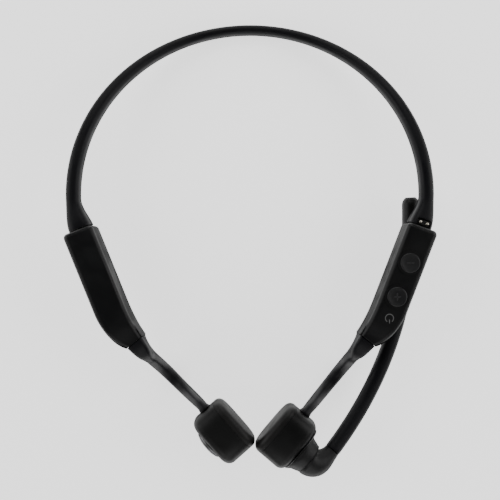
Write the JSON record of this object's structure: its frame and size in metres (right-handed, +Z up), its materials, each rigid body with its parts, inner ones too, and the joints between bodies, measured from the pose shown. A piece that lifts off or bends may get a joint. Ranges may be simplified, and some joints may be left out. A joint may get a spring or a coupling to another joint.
{
  "type": "bone conduction headphones",
  "caption": "Open-ear headset: sprung neckband with battery and control pods, ear hooks, oval bone-conduction transducers and a swivelling boom microphone.",
  "frame": {"origin": "on the table, below the centre of the whole outline, with the headset lying on its ear hooks and the rear of its band", "axes": "+Y towards the rear of the neckband, +Z up towards the button side (the wearer's underside), +X towards the boom side (the wearer's right)"},
  "size_m": [0.128, 0.1616, 0.0267],
  "materials": {
    "soft_touch_black": "matte soft-touch silicone",
    "shell_black": "fine matte moulding",
    "cover_black": "fine matte moulding",
    "pad_rubber": "matte silicone",
    "button_black": "satin",
    "elbow_grey": "matte",
    "rim_grey": "satin",
    "spring_titanium": "drawn",
    "motor_steel": "plain",
    "magnet_nickel": "nickel plated",
    "coil_copper": "enamelled",
    "contact_gold": "gold plated",
    "circuit_board": "solder mask",
    "battery_foil": "foil pouch",
    "cable_black": "plain",
    "mic_mesh": "woven"
  },
  "bodies": {
    "neckband": {"neckband_skin": "soft_touch_black", "neckband_wire": "spring_titanium", "neckband_cable": "cable_black"},
    "left_side": {"left_band_boot": "soft_touch_black", "left_pod_shell": "shell_black", "left_pod_cover": "cover_black", "battery_cell": "battery_foil", "battery_protection_board": "circuit_board", "left_hook_skin": "soft_touch_black", "left_hook_wire": "spring_titanium", "left_transducer_housing": "shell_black", "left_contact_pad": "pad_rubber", "left_magnet": "magnet_nickel", "left_yoke": "motor_steel", "left_voice_coil": "coil_copper", "left_spring_plate": "motor_steel", "multifunction_bezel": "rim_grey", "multifunction_switch": "motor_steel"},
    "multifunction_key": {"multifunction_button": "button_black"},
    "right_side": {"right_band_boot": "soft_touch_black", "right_pod_shell": "shell_black", "right_pod_cover": "cover_black", "main_board": "circuit_board", "radio_shield": "motor_steel", "volume_minus_switch": "motor_steel", "volume_plus_switch": "motor_steel", "charging_block": "cable_black", "charging_contact_inner": "contact_gold", "charging_contact_outer": "contact_gold", "right_hook_skin": "soft_touch_black", "right_hook_wire": "spring_titanium", "right_transducer_housing": "shell_black", "right_contact_pad": "pad_rubber", "right_magnet": "magnet_nickel", "right_yoke": "motor_steel", "right_voice_coil": "coil_copper", "right_spring_plate": "motor_steel", "boom_hub": "shell_black", "boom_pivot_screw": "motor_steel", "boom_friction_washer": "motor_steel"},
    "volume_minus_key": {"volume_minus_button": "button_black"},
    "volume_plus_key": {"volume_plus_button": "button_black"},
    "boom": {"boom_elbow": "elbow_grey", "boom_arm": "soft_touch_black", "mic_tip_housing": "shell_black", "mic_capsule": "motor_steel", "mic_mesh": "mic_mesh"}
  },
  "joints": [
    {"name": "left_flex", "type": "hinge", "parent": "neckband", "child": "left_side", "pos_m": [-0.0306, 0.06373, 0.011], "axis": [0, 0, -1], "range_deg": [0, 35], "stiffness_Nm_per_rad": 0.25, "deforming": ["neckband_skin", "neckband_wire", "neckband_cable"]},
    {"name": "right_flex", "type": "hinge", "parent": "neckband", "child": "right_side", "pos_m": [0.0306, 0.06373, 0.011], "axis": [0, 0, 1], "range_deg": [0, 35], "stiffness_Nm_per_rad": 0.25, "deforming": ["neckband_skin", "neckband_wire", "neckband_cable"]},
    {"name": "boom_swivel", "type": "hinge", "parent": "right_side", "child": "boom", "pos_m": [0.01771, -0.07274, 0.017], "axis": [-0.7547, 0.6561, 0], "range_deg": [0, 200]},
    {"name": "volume_minus_press", "type": "slide", "parent": "right_side", "child": "volume_minus_key", "axis": [0, 0, -1], "range_m": [0, 0.0004], "stiffness_N_per_m": 800},
    {"name": "volume_plus_press", "type": "slide", "parent": "right_side", "child": "volume_plus_key", "axis": [0, 0, -1], "range_m": [0, 0.0004], "stiffness_N_per_m": 800},
    {"name": "multifunction_press", "type": "slide", "parent": "left_side", "child": "multifunction_key", "axis": [0.7547, 0.6561, 0], "range_m": [0, 0.0004], "stiffness_N_per_m": 800}
  ]
}
